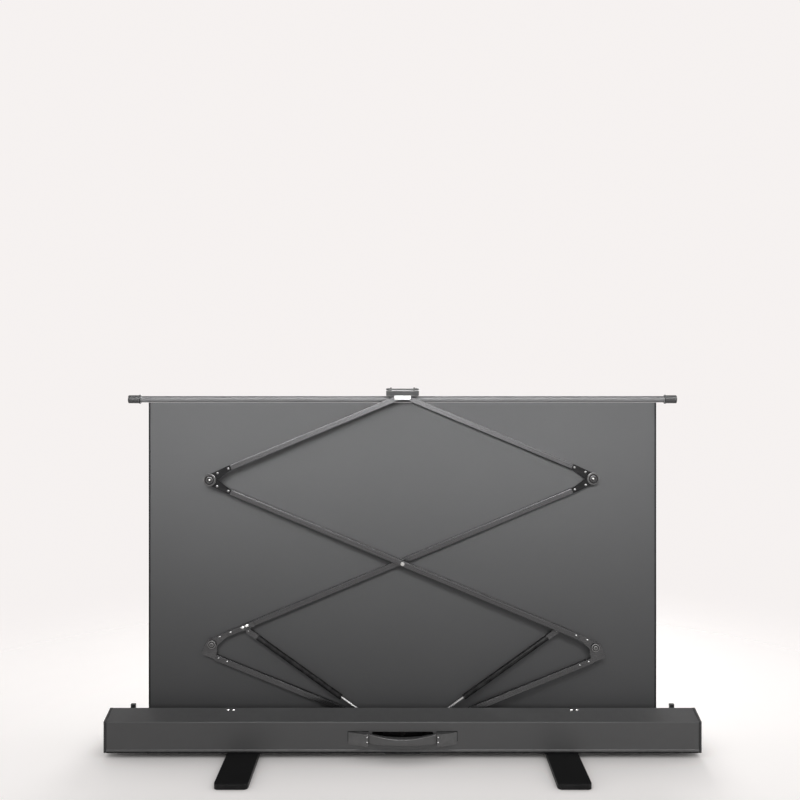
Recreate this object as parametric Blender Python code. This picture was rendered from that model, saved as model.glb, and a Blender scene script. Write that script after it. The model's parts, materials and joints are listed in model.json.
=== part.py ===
"""Portable pull-up projection screen, standing half raised.

Metres, +Z up, origin on the floor under the middle of the case. -Y is the back, with the lifting arms, and +Y is
the side that is watched. The lift is a scissor of six arms in two layers, one behind the other: in each layer a
lower arm, a long cross arm and an upper arm fold at two elbows, and both layers share the base, centre and top
pivots, which stay on the middle line.
"""

import math

import bmesh
import bpy
from mathutils import Matrix, Vector
from mathutils.geometry import tessellate_polygon

# Fits
GAP = 0.0003  # between pieces that lie against each other
RUN = 0.0003  # round a pin in its hole
ROUND = 20  # sides of a round piece

# Case, a folded metal profile with sloping top faces on both sides of a long slot
CASE_LENGTH = 1.500
CASE_DEPTH = 0.136
CASE_WALL = 0.002
BOTTOM_THICK = 0.003
FOOT_THICK = 0.012
WALL_HEIGHT = 0.0744  # upright part of the front and rear faces
SLOPE_RISE = 0.016
SLOT_REAR = -0.018  # edges of the slot
SLOT_FRONT = 0.036
SLOT_LIP = 0.006
FRONT_DROP = 0.027  # of the front shell's slot edge under the rear one's
FRONT_SLOPE_RISE = 0.015
SHELL_FOOT = 0.006  # the flange that each shell turns in over the bottom plate
END_CAP_THICK = 0.007

BOTTOM_LOW = FOOT_THICK + GAP
BOTTOM_HIGH = BOTTOM_LOW + BOTTOM_THICK
SHELL_LOW = BOTTOM_HIGH + GAP
CREASE = SHELL_LOW + WALL_HEIGHT
CASE_TOP = CREASE + SLOPE_RISE
FRONT_TOP = CASE_TOP - FRONT_DROP
FRONT_CREASE = FRONT_TOP - FRONT_SLOPE_RISE
HALF_DEPTH = CASE_DEPTH / 2
SHELL_HALF = CASE_LENGTH / 2 - END_CAP_THICK - GAP

# Feet, centre pad and rest pegs
FOOT_X = 0.400
FOOT_WIDTH = 0.080
FOOT_LENGTH = 0.450
FOOT_CORNER = 0.010
FOOT_BOLT_RADIUS = 0.005
FOOT_BOLT_HEAD = 0.009
FOOT_BOLT_HEAD_THICK = 0.004
PAD_WIDTH = 0.100
PAD_LENGTH = 0.090
PEG_INSET = 0.044  # from the case's end to the peg's middle
PEG_WIDTH = 0.012
PEG_DEPTH = 0.008
PEG_BASE = 0.004
PEG_FOOT = 0.014
LOWERED_GAP = 0.0015  # between the case's top and the hinge block, lowered

# Carry handle on the rear face
HANDLE_X = 0.085  # inner end of each plate
PLATE_LENGTH = 0.051
PLATE_HEIGHT = 0.030
PLATE_MID_Z = 0.051
EAR_REACH = 0.016  # thickness at the grip
EAR_LENGTH = 0.010  # of the grip's pins in the plates
EAR_BACK = 0.0085  # of the hinge from the plates' back
GRIP_AXIS_LIFT = 0.0065  # grip's hinge above the plates' middle
GRIP_PIN_RADIUS = 0.0030
GRIP_END_THICK = 0.0070
GRIP_MID_THICK = 0.0170
GRIP_END_IN = 0.0033  # of its inner face from the hinge, towards the case
GRIP_BOW = 0.0065  # of its inner face, away from the case
GRIP_END_TOP = 0.0075  # over the hinge
GRIP_SAG = 0.0065  # of its top edge
GRIP_END_LOW = -0.0175
GRIP_LIFT = 0.002  # of its lower edge
GRIP_CORNER = 0.0025
FINGER_HALF = 0.076  # of the opening behind the grip
FINGER_LOW = 0.044
FINGER_HIGH = 0.0655
PLATE_TIP = 0.003  # thickness at the far end
GRIP_STEPS = 16

# Scissor lift
LINK = 0.541  # pivot to pivot, the same for every link
LIFT_ANGLE = math.radians(23.5)  # of every link at rest
BASE_PIVOT_Z = 0.042
LAYER_NEAR = -0.009  # middle of each layer of arms
LAYER_FAR = 0.016
ARM_WIDTH = 0.0136
ARM_DEPTH = 0.010
ARM_WALL = 0.0015
ELBOW_OFFSET = 0.0085  # of an arm's middle line from its elbow pin
LOWER_ELBOW_RISE = 0.028  # of the lower elbow pin above the lower arm's middle line
BASE_RISE = 0.015  # of the base pivot above the lower arm's middle line
ARM_STOP = 0.048  # from a lower elbow pin to the cross arm's tube
UPPER_STOP = 0.062  # from an upper elbow pin to either tube
LOWER_STOP = 0.021  # from a lower elbow pin, along the lower arm, to its tube
CORNER_REACH = 0.0165  # of a lower elbow plate past its pin
CORNER_CUT = 0.005
LOWER_EYE = 0.015
BASE_STOP = 0.062  # from the base pivot to the tube's end
TOP_OVERHANG = 0.005  # of an upper arm past the top pivot
PLATE_INSERT = 0.028  # of a plate in its tube
EYE = 0.013  # outer radius of the plates' eyes
PIN_RADIUS = 0.004
BASE_PIN_RADIUS = 0.005
BUSH_RADIUS = 0.008
DISC_RADIUS = 0.0165
DISC_THICK = 0.0026
LOWER_HEAD_RADIUS = 0.0095
BACK_HEAD_RADIUS = 0.007
BACK_HEAD_THICK = 0.002
CENTRE_HEAD_RADIUS = 0.005
CENTRE_HEAD_THICK = 0.002
NUT_RADIUS = 0.007
NUT_THICK = 0.0035
BRACKET_HALF = 0.050  # of the base bracket along the case
BRACKET_WALL = 0.0027
BRACKET_RISE = 0.012  # of its cheeks above the base pivot

# Gas springs
EYE_ALONG = 0.105  # from the lower elbow along the cross arm
EYE_BELOW = 0.0105  # under the cross arm's middle line
SPRING_SLOPE = math.radians(35.7)
SPRING_LENGTH = 0.3968  # eye to eye at rest
CYLINDER_START = 0.028  # from the upper eye
CYLINDER_LENGTH = 0.267
CYLINDER_RADIUS = 0.007
ROD_RADIUS = 0.0035
ROD_LENGTH = 0.2765
BORE_DEPTH = 0.260
SPRING_EYE = 0.0065
SPRING_EYE_THICK = 0.008
SPRING_LUG_HALF = 0.0062
SPRING_PIN_RADIUS = 0.003
CLAMP_LENGTH = 0.036
CLAMP_THICK = 0.0022

# Top bar and its fittings
BAR_INSET = 0.0325  # from the case's end to the bar's, over its end caps
BAR_RADIUS = 0.00825
BAR_BORE = 0.0065
BAR_BELOW_PIVOT = 0.010
BAR_CAP_RADIUS = 0.0105
BAR_FLANGE_RADIUS = 0.0118
BAR_CAP_LENGTH = 0.031
BAR_FLANGE_THICK = 0.003
BAR_PLUG = 0.020
TOP_PIN_RADIUS = 0.003
BLOCK_WIDTH = 0.042
BLOCK_ROOF = 0.002
BLOCK_CHEEK = 0.0055
BLOCK_DROP = 0.009  # under the top pivot
TOP_BRACKET_WIDTH = 0.084
TOP_BRACKET_WALL = 0.002
TOP_BRACKET_LIP = 0.0115
BAIL_REACH = 0.036
BAIL_WIDTH = 0.080
BAIL_RADIUS = 0.0025
BAIL_TIP = 0.012
LUG_WIDTH = 0.004
LUG_HALF = 0.004

# Fabric and roller
FABRIC_INSET = 0.085  # from the case's end to the fabric's edge
FABRIC_THICK = 0.0006
FABRIC_Y = 0.0285
FABRIC_FOOT_Z = 0.058
WOUND_RADIUS = 0.0172
ROLLER_RADIUS = 0.0140
ROLLER_Z = 0.050
SHAFT_RADIUS = 0.004
ROLLER_BRACKET_INSET = 0.060
ROLLER_BRACKET_THICK = 0.003
ROLLER_BRACKET_HALF = 0.014
ROLLER_END_GAP = 0.002

# Places worked out from the sizes above
PEG_X = CASE_LENGTH / 2 - PEG_INSET
FABRIC_WIDTH = CASE_LENGTH - 2 * FABRIC_INSET
ROLLER_BRACKET_X = CASE_LENGTH / 2 - ROLLER_BRACKET_INSET
BAR_LENGTH = CASE_LENGTH - 2 * BAR_INSET
STEP_Z = LINK * math.sin(LIFT_ANGLE)
STEP_X = LINK * math.cos(LIFT_ANGLE)
CENTRE_Z = BASE_PIVOT_Z + 2 * STEP_Z
TOP_Z = BASE_PIVOT_Z + 4 * STEP_Z
BAR_Z = TOP_Z - BAR_BELOW_PIVOT
HALF_ARM = ARM_DEPTH / 2
BAR_Y = LAYER_FAR + HALF_ARM + BACK_HEAD_THICK + BAR_RADIUS
SPRING_Y = (LAYER_NEAR + LAYER_FAR) / 2
HOLLOW_HALF = HALF_ARM - ARM_WALL
ROLLER_Y = FABRIC_Y + FABRIC_THICK / 2 + GAP + WOUND_RADIUS
BAR_HALF = BAR_LENGTH / 2 - BAR_CAP_LENGTH
BLOCK_TOP = TOP_Z + math.hypot(TOP_OVERHANG, ARM_WIDTH / 2) + 2 * GAP + BLOCK_ROOF
BRACKET_TOP = BLOCK_TOP + GAP + TOP_BRACKET_WALL
BLOCK_REAR = LAYER_NEAR - HALF_ARM - 2 * GAP - BLOCK_CHEEK
BAIL_Y = BLOCK_REAR + BAIL_REACH
BAIL_Z = BRACKET_TOP + LUG_HALF
LOWERED_PIVOT = CASE_TOP + LOWERED_GAP + BLOCK_DROP
PEG_TOP = LOWERED_PIVOT - BAR_BELOW_PIVOT - BAR_CAP_RADIUS - GAP


def clear_scene():
    for thing in list(bpy.data.objects):
        bpy.data.objects.remove(thing, do_unlink=True)


def finish(name, colour, roughness, metallic):
    """A plain material with the piece's colour, roughness and metallic value."""
    made = bpy.data.materials.get(name) or bpy.data.materials.new(name)
    made.use_nodes = True
    shader = made.node_tree.nodes["Principled BSDF"]
    shader.inputs["Base Color"].default_value = (*colour, 1)
    shader.inputs["Roughness"].default_value = roughness
    shader.inputs["Metallic"].default_value = metallic
    return made


def circle(radius, centre=(0, 0), count=ROUND):
    steps = (math.tau * i / count for i in range(count))
    return [(centre[0] + radius * math.cos(a), centre[1] + radius * math.sin(a)) for a in steps]


def arc(radius, start, end, centre=(0, 0), count=8):
    steps = (math.radians(start + (end - start) * i / count) for i in range(count + 1))
    return [(centre[0] + radius * math.cos(a), centre[1] + radius * math.sin(a)) for a in steps]


def box_outline(low, high):
    return [(low[0], low[1]), (high[0], low[1]), (high[0], high[1]), (low[0], high[1])]


def rounded_box(half_x, half_y, radius):
    corners = ((1, 1, 0), (-1, 1, 90), (-1, -1, 180), (1, -1, 270))
    outline = []
    for sx, sy, turn in corners:
        outline += arc(radius, turn, turn + 90, (sx * (half_x - radius), sy * (half_y - radius)), 4)
    return outline


def thick_line(points, wall):
    """The outline of a bent strip: the points, and back along their right-hand side at the wall's distance."""
    inner = []
    for i, point in enumerate(points):
        sides = []
        for a, b in ((i - 1, i), (i, i + 1)):
            if a >= 0 and b < len(points):
                along = (Vector(points[b]) - Vector(points[a])).normalized()
                sides.append(Vector((along.y, -along.x)))
        mitre = sum(sides, Vector((0, 0))).normalized()
        inner.append(tuple(Vector(point) + mitre * wall / mitre.dot(sides[0])))
    return list(points) + inner[::-1]


def as_object(name, bm, material, parent=None, place=(0, 0, 0), turn=0.0):
    """A named object from a bmesh, standing at place and turned about Y."""
    bmesh.ops.recalc_face_normals(bm, faces=bm.faces)
    mesh = bpy.data.meshes.new(name)
    bm.to_mesh(mesh)
    bm.free()
    mesh.shade_smooth()
    mesh.set_sharp_from_angle(angle=math.radians(35))
    mesh.materials.append(material)
    made = bpy.data.objects.new(name, mesh)
    bpy.context.scene.collection.objects.link(made)
    made.parent = parent
    made.location = place
    made.rotation_euler.y = turn
    return made


PLANES = {
    "xz": lambda u, v, w: (u, w, v),
    "yz": lambda u, v, w: (w, u, v),
    "xy": lambda u, v, w: (u, v, w),
}


def extruded(outlines, low, high, plane):
    """A solid from an outline, with any holes after it, drawn in a plane and carried across it."""
    bm = bmesh.new()
    flat = [[Vector((u, v, 0)) for u, v in outline] for outline in outlines]
    ends = [
        [bm.verts.new(PLANES[plane](p.x, p.y, level)) for loop in flat for p in loop] for level in (low, high)
    ]
    for triangle in tessellate_polygon(flat):
        for end in ends:
            bm.faces.new([end[i] for i in triangle])
    start = 0
    for loop in flat:
        count = len(loop)
        for i in range(count):
            a, b = start + i, start + (i + 1) % count
            bm.faces.new((ends[0][a], ends[0][b], ends[1][b], ends[1][a]))
        start += count
    return bm


def turned(profile, axis="y", count=ROUND, closed=False):
    """A turned solid. The profile holds radius and distance along the axis; it ends on the axis or is closed."""
    bm = bmesh.new()
    spots = {"x": lambda r, a, s: (s, r * math.cos(a), r * math.sin(a)),
             "y": lambda r, a, s: (r * math.cos(a), s, r * math.sin(a)),
             "z": lambda r, a, s: (r * math.cos(a), r * math.sin(a), s)}[axis]
    rings = []
    for radius, along in profile:
        angles = (math.tau * i / count for i in range(count)) if radius else (0.0,)
        rings.append([bm.verts.new(spots(radius, a, along)) for a in angles])
    pairs = list(zip(rings, rings[1:] + rings[:1])) if closed else list(zip(rings, rings[1:]))
    for first, second in pairs:
        for i in range(count):
            j = (i + 1) % count
            corners = [first[i % len(first)], first[j % len(first)], second[j % len(second)], second[i % len(second)]]
            bm.faces.new(list(dict.fromkeys(corners)))
    return bm


def solid_profile(*steps):
    """A profile that starts and ends on the axis, from (radius, start, end) lengths."""
    profile = [(0, steps[0][1])]
    for radius, start, end in steps:
        profile += [(radius, start), (radius, end)]
    return profile + [(0, steps[-1][2])]


def ring_profile(inner, outer, low, high):
    return [(inner, low), (outer, low), (outer, high), (inner, high)]


def swept(path, radii, count=10):
    """A round bar along a path, with its own radius at each point."""
    bm = bmesh.new()
    spots = [Vector(p) for p in path]
    rings = []
    side = None
    for i, (spot, radius) in enumerate(zip(spots, radii)):
        along = (spots[min(i + 1, len(spots) - 1)] - spots[max(i - 1, 0)]).normalized()
        side = (side or Vector((0.3, 0.5, 0.81))) - along * along.dot(side or Vector((0.3, 0.5, 0.81)))
        side.normalize()
        other = along.cross(side)
        turns = (math.tau * k / count for k in range(count))
        rings.append([bm.verts.new(spot + radius * (side * math.cos(t) + other * math.sin(t))) for t in turns])
    for first, second in zip(rings, rings[1:]):
        for k in range(count):
            m = (k + 1) % count
            bm.faces.new((first[k], first[m], second[m], second[k]))
    bm.faces.new(rings[0])
    bm.faces.new(rings[-1])
    return bm


def banded(bands, corner):
    """A bar along X through rounded boxes, each given as (x, low y, high y, low z, high z)."""
    bm = bmesh.new()
    rings = []
    for x, low_y, high_y, low_z, high_z in bands:
        middle = Vector((x, (low_y + high_y) / 2, (low_z + high_z) / 2))
        outline = rounded_box((high_y - low_y) / 2, (high_z - low_z) / 2, corner)
        rings.append([bm.verts.new(middle + Vector((0, y, z))) for y, z in outline])
    count = len(rings[0])
    for first, second in zip(rings, rings[1:]):
        for k in range(count):
            m = (k + 1) % count
            bm.faces.new((first[k], first[m], second[m], second[k]))
    bm.faces.new(rings[0])
    bm.faces.new(rings[-1])
    return bm


def cut(piece, bm, name):
    """Takes a hidden cutter's shape, given in the piece's own frame, out of the piece."""
    cutter = as_object(name, bm, piece.data.materials[0], piece)
    cutter.hide_render = True
    cutter.display_type = "WIRE"
    taken = piece.modifiers.new(name, "BOOLEAN")
    taken.operation = "DIFFERENCE"
    taken.object = cutter


def join(piece, bm, name):
    """Adds a hidden shape, given in the piece's own frame, to the piece."""
    added = as_object(name, bm, piece.data.materials[0], piece)
    added.hide_render = True
    added.display_type = "WIRE"
    union = piece.modifiers.new(name, "BOOLEAN")
    union.operation = "UNION"
    union.object = added


def side_name(side):
    return "left" if side < 0 else "right"


def build_case(metal, dark, rubber):
    rear_path = [
        (-HALF_DEPTH + SHELL_FOOT, SHELL_LOW), (-HALF_DEPTH, SHELL_LOW), (-HALF_DEPTH, CREASE),
        (SLOT_REAR, CASE_TOP), (SLOT_REAR, CASE_TOP - SLOT_LIP),
    ]
    front_path = [
        (SLOT_FRONT, FRONT_TOP - SLOT_LIP), (SLOT_FRONT, FRONT_TOP), (HALF_DEPTH, FRONT_CREASE),
        (HALF_DEPTH, SHELL_LOW), (HALF_DEPTH - SHELL_FOOT, SHELL_LOW),
    ]
    for name, path in (("case_rear_shell", rear_path), ("case_front_shell", front_path)):
        outline = thick_line(path, CASE_WALL)
        shell = as_object(name, extruded([outline], -SHELL_HALF, SHELL_HALF, "yz"), metal)
        if path is rear_path:
            opening = box_outline((-HALF_DEPTH - GAP, FINGER_LOW), (-HALF_DEPTH + 2 * CASE_WALL, FINGER_HIGH))
            cut(shell, extruded([opening], -FINGER_HALF, FINGER_HALF, "yz"), "finger_opening")

    bottom = box_outline((-SHELL_HALF, -HALF_DEPTH + GAP), (SHELL_HALF, HALF_DEPTH - GAP))
    holes = [circle(FOOT_BOLT_RADIUS + RUN, (side * FOOT_X, 0)) for side in (-1, 1)]
    as_object("case_bottom", extruded([bottom, *holes], BOTTOM_LOW, BOTTOM_HIGH, "xy"), metal)

    cap = [
        (-HALF_DEPTH, BOTTOM_LOW), (-HALF_DEPTH, CREASE), (SLOT_REAR, CASE_TOP),
        (SLOT_FRONT, FRONT_TOP), (HALF_DEPTH, FRONT_CREASE), (HALF_DEPTH, BOTTOM_LOW),
    ]
    peg_low = BOTTOM_HIGH + GAP
    peg = [
        (BAR_Y - PEG_FOOT, peg_low), (BAR_Y + PEG_DEPTH / 2, peg_low), (BAR_Y + PEG_DEPTH / 2, PEG_TOP),
        (BAR_Y - PEG_DEPTH / 2, PEG_TOP), (BAR_Y - PEG_DEPTH / 2, peg_low + PEG_BASE),
        (BAR_Y - PEG_FOOT, peg_low + PEG_BASE),
    ]
    for side in (-1, 1):
        ends = sorted((side * (CASE_LENGTH / 2 - END_CAP_THICK), side * CASE_LENGTH / 2))
        as_object(f"{side_name(side)}_end_cap", extruded([cap], *ends, "yz"), dark)
        ends = sorted((side * (PEG_X - PEG_WIDTH / 2), side * (PEG_X + PEG_WIDTH / 2)))
        as_object(f"{side_name(side)}_rest_peg", extruded([peg], *ends, "yz"), dark)

    pad = rounded_box(PAD_WIDTH / 2, PAD_LENGTH / 2, FOOT_CORNER)
    as_object("centre_pad", extruded([pad], 0, FOOT_THICK, "xy"), rubber)


def build_feet(dark, steel):
    """Two bars that swivel under the case, each on an upright bolt."""
    outline = rounded_box(FOOT_WIDTH / 2, FOOT_LENGTH / 2, FOOT_CORNER)
    hole = circle(FOOT_BOLT_RADIUS + RUN)
    under = circle(FOOT_BOLT_HEAD + RUN)
    seat = FOOT_BOLT_HEAD_THICK + 2 * GAP
    for side in (-1, 1):
        place = (side * FOOT_X, 0, 0)
        foot = as_object(f"{side_name(side)}_foot", extruded([outline, hole], 0, FOOT_THICK, "xy"), dark, None, place)
        cut(foot, extruded([under], -GAP, seat, "xy"), f"{side_name(side)}_bolt_seat")
        bolt = solid_profile(
            (FOOT_BOLT_HEAD, GAP, seat - GAP),
            (FOOT_BOLT_RADIUS, seat - GAP, BOTTOM_HIGH + GAP),
            (FOOT_BOLT_HEAD, BOTTOM_HIGH + GAP, BOTTOM_HIGH + FOOT_BOLT_HEAD_THICK),
        )
        as_object(f"{side_name(side)}_foot_bolt", turned(bolt, "z"), steel, None, place)


def build_carry_handle(grey):
    """Two wedge plates on the rear face, and a bowed grip whose pins turn in them."""
    plate_y = -HALF_DEPTH - GAP
    axis_y = plate_y - EAR_BACK
    axis_z = PLATE_MID_Z + GRIP_AXIS_LIFT
    far = HANDLE_X + PLATE_LENGTH
    heights = (PLATE_MID_Z - PLATE_HEIGHT / 2, PLATE_MID_Z + PLATE_HEIGHT / 2)
    for side in (-1, 1):
        wedge = [
            (side * HANDLE_X, plate_y), (side * far, plate_y), (side * far, plate_y - PLATE_TIP),
            (side * (HANDLE_X + EAR_LENGTH), plate_y - EAR_REACH), (side * HANDLE_X, plate_y - EAR_REACH),
        ]
        plate = as_object(f"{side_name(side)}_handle_plate", extruded([wedge], *heights, "xy"), grey)
        ends = sorted((side * (HANDLE_X - GAP), side * (HANDLE_X + EAR_LENGTH + GAP)))
        bore = turned(solid_profile((GRIP_PIN_RADIUS + RUN, *ends)), "x", 12)
        bore.transform(Matrix.Translation((0, axis_y, axis_z)))
        cut(plate, bore, f"{side_name(side)}_grip_bore")
    reach = HANDLE_X - 2 * GAP
    bands = []
    for i in range(GRIP_STEPS + 1):
        t = -1 + 2 * i / GRIP_STEPS
        bow = 1 - t * t
        inner = GRIP_END_IN - GRIP_BOW * bow
        outer = inner - GRIP_END_THICK - (GRIP_MID_THICK - GRIP_END_THICK) * bow
        bands.append((t * reach, outer, inner, GRIP_END_LOW + GRIP_LIFT * bow, GRIP_END_TOP - GRIP_SAG * bow))
    grip = as_object("carry_grip", banded(bands, GRIP_CORNER), grey, None, (0, axis_y, axis_z))
    for side in (-1, 1):
        ends = sorted((side * (reach - GRIP_PIN_RADIUS), side * (HANDLE_X + EAR_LENGTH)))
        join(grip, turned(solid_profile((GRIP_PIN_RADIUS, *ends)), "x", 12), f"{side_name(side)}_grip_pin")


def layer_of(chain):
    """The middle of a chain's layer: chain -1 starts on the left and is the far one, +1 on the right and near."""
    return LAYER_FAR if chain < 0 else LAYER_NEAR


def tube(name, ends, side, layer, line, metal, place, turn):
    """A rectangular arm in its own frame, with its middle line at height line."""
    rims = []
    for wall in (0, ARM_WALL):
        depth, width = HALF_ARM - wall, ARM_WIDTH / 2 - wall
        rims.append(box_outline((layer - depth, line - width), (layer + depth, line + width)))
    bm = extruded(rims, *sorted(side * u for u in ends), "yz")
    return as_object(name, bm, metal, None, place, turn)


def end_plate(name, outline, holes, layer, front, side, dark, arm):
    """A flat plate in one half of its layer, with its tail in the tube."""
    depths = (-HOLLOW_HALF + GAP, -GAP) if front else (GAP, HOLLOW_HALF - GAP)
    loops = [[(side * u, v) for u, v in loop] for loop in (outline, *holes)]
    as_object(name, extruded(loops, layer + depths[0], layer + depths[1], "xz"), dark, arm)


def plate_outline(pin, line, stop, way, tail=ARM_WIDTH / 2 - ARM_WALL - GAP):
    """From an eye round the pin to a tail in the tube whose end is at stop; way is +1 if the tube lies at more u."""
    half = ARM_WIDTH / 2
    lean = 1 if pin[1] > line else -1
    far = stop + way * PLATE_INSERT
    near = stop - way * GAP
    eye = arc(EYE, 90, 270, (0, 0))
    points = [(pin[0] + way * x, pin[1] + lean * y) for x, y in eye]
    points += [
        (near - way * half, line - lean * half), (near, line - lean * half), (near, line - lean * tail),
        (far, line - lean * tail), (far, line + lean * tail), (near, line + lean * tail),
        (near, line + lean * half), (near - way * half, line + lean * half),
    ]
    return points


def corner_plate_outline(pin, line, stop):
    """An L from the tube's end at stop, out to a corner beyond the pin and up round it."""
    half = ARM_WIDTH / 2
    tail = half - ARM_WALL - GAP
    near, far = stop + GAP, stop - PLATE_INSERT
    outer = pin[0] + CORNER_REACH
    points = [(pin[0] + x, pin[1] + y) for x, y in arc(LOWER_EYE, 180, 0)]
    points += [
        (outer, pin[1] - LOWER_EYE / 2), (outer, line - half + CORNER_CUT), (outer - CORNER_CUT, line - half),
        (near, line - half), (near, line - tail), (far, line - tail), (far, line + tail), (near, line + tail),
        (near, line + half),
    ]
    return points


def build_pin(name, layer, head_radius, steel, place):
    """An elbow pin with its head on the rear side of its layer."""
    plate_face = HOLLOW_HALF - GAP
    front = layer - plate_face - GAP
    back = layer + plate_face + GAP
    profile = solid_profile(
        (head_radius * 0.45, front - DISC_THICK - 0.001, front - DISC_THICK),
        (head_radius, front - DISC_THICK, front),
        (PIN_RADIUS, front, back),
        (BACK_HEAD_RADIUS, back, back + BACK_HEAD_THICK),
    )
    as_object(name, turned(profile), steel, None, place)


def build_chain(chain, metal, dark, steel):
    """One layer's lower arm, cross arm and upper arm with their plates and elbow pins."""
    layer = layer_of(chain)
    low, high = side_name(chain), side_name(-chain)
    elbow_pin_hole = PIN_RADIUS + RUN

    rise = LOWER_ELBOW_RISE - BASE_RISE
    reach = math.sqrt(LINK**2 - rise**2)
    place = (0, 0, BASE_PIVOT_Z)
    turn = -chain * (LIFT_ANGLE - math.asin(rise / LINK))
    arm = tube(f"{low}_lower_arm", (BASE_STOP, reach - LOWER_STOP), chain, layer, -BASE_RISE, metal, place, turn)
    outline = plate_outline((0, 0), -BASE_RISE, BASE_STOP, 1, ARM_WIDTH / 2 - ARM_WALL / 2)
    loops = [[(chain * u, v) for u, v in loop] for loop in (outline, circle(BUSH_RADIUS + RUN))]
    join(arm, extruded(loops, layer - HOLLOW_HALF + GAP, layer - GAP, "xz"), f"{low}_base_plate")
    outline = corner_plate_outline((reach, rise), -BASE_RISE, reach - LOWER_STOP)
    hole = circle(elbow_pin_hole, (reach, rise))
    end_plate(f"{low}_lower_elbow_plate", outline, [hole], layer, False, chain, metal, arm)
    lower_elbow = (chain * STEP_X, 0, BASE_PIVOT_Z + STEP_Z)
    build_pin(f"{low}_lower_elbow_pin", layer, LOWER_HEAD_RADIUS, steel, lower_elbow)

    reach = math.sqrt(LINK**2 - ELBOW_OFFSET**2)
    lean = LIFT_ANGLE - math.asin(ELBOW_OFFSET / LINK)
    place = (0, 0, CENTRE_Z)
    arm = tube(f"{low}_cross_arm", (ARM_STOP - reach, reach - UPPER_STOP), -chain, layer, 0, metal, place, chain * lean)
    cut(arm, turned(solid_profile((PIN_RADIUS + RUN, layer - ARM_DEPTH, layer + ARM_DEPTH))), f"{low}_centre_hole")
    for end, where, stop, colour in ((-1, "lower", ARM_STOP, metal), (1, "upper", UPPER_STOP, dark)):
        pin = (end * reach, end * ELBOW_OFFSET)
        outline = plate_outline(pin, 0, end * (reach - stop), -end)
        hole = circle(elbow_pin_hole, pin)
        end_plate(f"{low}_cross_{where}_plate", outline, [hole], layer, True, -chain, colour, arm)

    place = (0, 0, TOP_Z)
    arm = tube(f"{high}_upper_arm", (-TOP_OVERHANG, reach - UPPER_STOP), -chain, layer, 0, metal, place, -chain * lean)
    hole = turned(solid_profile((TOP_PIN_RADIUS + RUN, layer - ARM_DEPTH, layer + ARM_DEPTH)))
    cut(arm, hole, f"{high}_top_hole")
    pin = (reach, -ELBOW_OFFSET)
    outline = plate_outline(pin, 0, reach - UPPER_STOP, -1)
    end_plate(f"{high}_upper_plate", outline, [circle(elbow_pin_hole, pin)], layer, False, -chain, dark, arm)
    upper_elbow = (-chain * STEP_X, 0, BASE_PIVOT_Z + 3 * STEP_Z)
    build_pin(f"{high}_upper_elbow_pin", layer, DISC_RADIUS, steel, upper_elbow)


def build_base(metal, steel):
    """The bracket on the bottom plate, the pin through it and the two bushes that the lower arms turn on."""
    low = BOTTOM_HIGH + GAP
    top = BASE_PIVOT_Z + BRACKET_RISE
    rear = LAYER_NEAR - HALF_ARM - 3 * GAP - BRACKET_WALL
    front = LAYER_FAR + HALF_ARM + 3 * GAP + BRACKET_WALL
    outline = thick_line([(front, top), (front, low), (rear, low), (rear, top)], BRACKET_WALL)
    bracket = as_object("base_bracket", extruded([outline], -BRACKET_HALF, BRACKET_HALF, "yz"), metal)
    hole = turned(solid_profile((BASE_PIN_RADIUS + RUN, rear - GAP, front + GAP)))
    bmesh.ops.translate(hole, verts=hole.verts, vec=(0, 0, BASE_PIVOT_Z))
    cut(bracket, hole, "base_pin_hole")
    place = (0, 0, BASE_PIVOT_Z)
    pin = solid_profile(
        (BUSH_RADIUS, rear - GAP - BACK_HEAD_THICK, rear - GAP), (BASE_PIN_RADIUS, rear - GAP, front)
    )
    as_object("base_pin", turned(pin), steel, None, place)
    for side, ends in ((-1, (SPRING_Y + GAP, LAYER_FAR + HALF_ARM)), (1, (LAYER_NEAR - HALF_ARM, SPRING_Y))):
        profile = ring_profile(BASE_PIN_RADIUS + RUN, BUSH_RADIUS, *ends)
        as_object(f"{side_name(side)}_base_bush", turned(profile, closed=True), steel, None, place)


def build_centre(steel):
    """The bolt and nut that hold the two cross arms together."""
    place = (0, 0, CENTRE_Z)
    rear = LAYER_NEAR - HALF_ARM - GAP
    back = LAYER_FAR + HALF_ARM + GAP
    bolt = solid_profile(
        (CENTRE_HEAD_RADIUS * 0.6, rear - CENTRE_HEAD_THICK, rear - CENTRE_HEAD_THICK / 2),
        (CENTRE_HEAD_RADIUS, rear - CENTRE_HEAD_THICK / 2, rear),
        (PIN_RADIUS, rear, back + NUT_THICK),
    )
    as_object("centre_bolt", turned(bolt), steel, None, place)
    nut = [circle(NUT_RADIUS, count=6), circle(PIN_RADIUS + RUN)]
    as_object("centre_nut", extruded(nut, back, back + NUT_THICK, "xz"), steel, None, place)


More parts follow.
